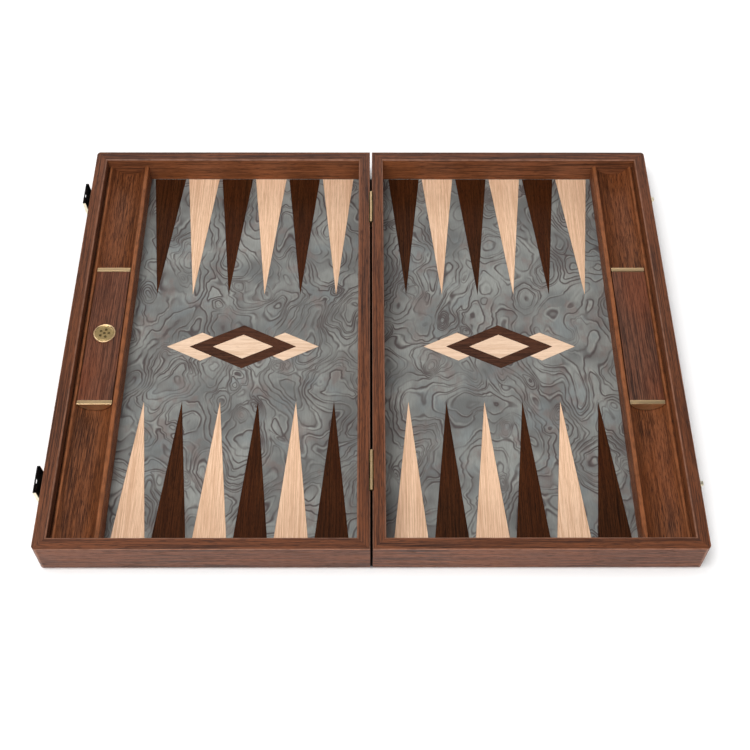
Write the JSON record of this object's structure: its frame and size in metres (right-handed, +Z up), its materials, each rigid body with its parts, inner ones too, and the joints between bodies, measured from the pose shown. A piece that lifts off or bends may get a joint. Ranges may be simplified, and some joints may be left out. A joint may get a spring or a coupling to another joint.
{
  "type": "backgammon set",
  "caption": "Folding wooden backgammon case: two trays on a centre hinge, inlaid points, checker racks with lidded dice boxes along the outer walls, and hasps on one side.",
  "frame": {"origin": "middle of the line between the two trays, on the plane that the open case lies on", "axes": "+Z up, +X from the left tray to the right tray, +Y towards the far wall; the fold turns about an axis along Y at rim height"},
  "size_m": [0.6075, 0.48, 0.0471],
  "materials": {
    "frame_walnut": "satin open-grain dark walnut",
    "rack_walnut": "satin reddish walnut",
    "burl_veneer": "satin grey-green burl veneer",
    "light_veneer": "satin pale straight-grained veneer",
    "dark_veneer": "satin dark brown veneer",
    "polished_brass": "polished",
    "latch_brass": "polished, thin sheet"
  },
  "bodies": {
    "left_tray": {"left_outer_wall": "frame_walnut", "left_hinge_wall": "frame_walnut", "left_back_wall": "frame_walnut", "left_front_wall": "frame_walnut", "left_back_point_1": "dark_veneer", "left_back_point_2": "light_veneer", "left_back_point_3": "dark_veneer", "left_back_point_4": "light_veneer", "left_back_point_5": "dark_veneer", "left_back_point_6": "light_veneer", "left_front_point_1": "light_veneer", "left_front_point_2": "dark_veneer", "left_front_point_3": "light_veneer", "left_front_point_4": "dark_veneer", "left_front_point_5": "light_veneer", "left_front_point_6": "dark_veneer", "left_centre_diamond": "dark_veneer", "left_board": "burl_veneer", "left_rack": "rack_walnut", "left_back_divider": "polished_brass", "left_front_divider": "polished_brass", "back_hinge_left_leaf": "polished_brass", "back_hinge_pin": "polished_brass", "back_latch_base": "latch_brass", "back_latch_pin": "latch_brass", "front_hinge_left_leaf": "polished_brass", "front_hinge_pin": "polished_brass", "front_latch_base": "latch_brass", "front_latch_pin": "latch_brass"},
    "right_tray": {"right_outer_wall": "frame_walnut", "right_hinge_wall": "frame_walnut", "right_back_wall": "frame_walnut", "right_front_wall": "frame_walnut", "right_back_point_1": "dark_veneer", "right_back_point_2": "light_veneer", "right_back_point_3": "dark_veneer", "right_back_point_4": "light_veneer", "right_back_point_5": "dark_veneer", "right_back_point_6": "light_veneer", "right_front_point_1": "light_veneer", "right_front_point_2": "dark_veneer", "right_front_point_3": "light_veneer", "right_front_point_4": "dark_veneer", "right_front_point_5": "light_veneer", "right_front_point_6": "dark_veneer", "right_centre_diamond": "dark_veneer", "right_board": "burl_veneer", "right_rack": "rack_walnut", "right_back_divider": "polished_brass", "right_front_divider": "polished_brass", "back_hinge_right_leaf": "polished_brass", "back_strike": "latch_brass", "front_hinge_right_leaf": "polished_brass", "front_strike": "latch_brass"},
    "left_lid": {"left_dice_lid": "rack_walnut", "medallion": "polished_brass"},
    "right_lid": {"right_dice_lid": "rack_walnut"},
    "back_latch": {"back_hasp": "latch_brass"},
    "front_latch": {"front_hasp": "latch_brass"}
  },
  "joints": [
    {"name": "case_fold", "type": "hinge", "parent": "left_tray", "child": "right_tray", "pos_m": [0, 0, 0.0406], "axis": [0, -1, 0], "range_deg": [0, 180]},
    {"name": "left_lid_lift", "type": "slide", "parent": "left_tray", "child": "left_lid", "axis": [0, 0, -1], "range_m": [-0.04, 0]},
    {"name": "right_lid_lift", "type": "slide", "parent": "right_tray", "child": "right_lid", "axis": [0, 0, -1], "range_m": [-0.04, 0]},
    {"name": "back_hasp_swing", "type": "hinge", "parent": "left_tray", "child": "back_latch", "pos_m": [-0.302, 0.173, 0.028], "axis": [0, 1, 0], "range_deg": [-150, 4]},
    {"name": "front_hasp_swing", "type": "hinge", "parent": "left_tray", "child": "front_latch", "pos_m": [-0.302, -0.173, 0.028], "axis": [0, 1, 0], "range_deg": [-150, 4]}
  ]
}
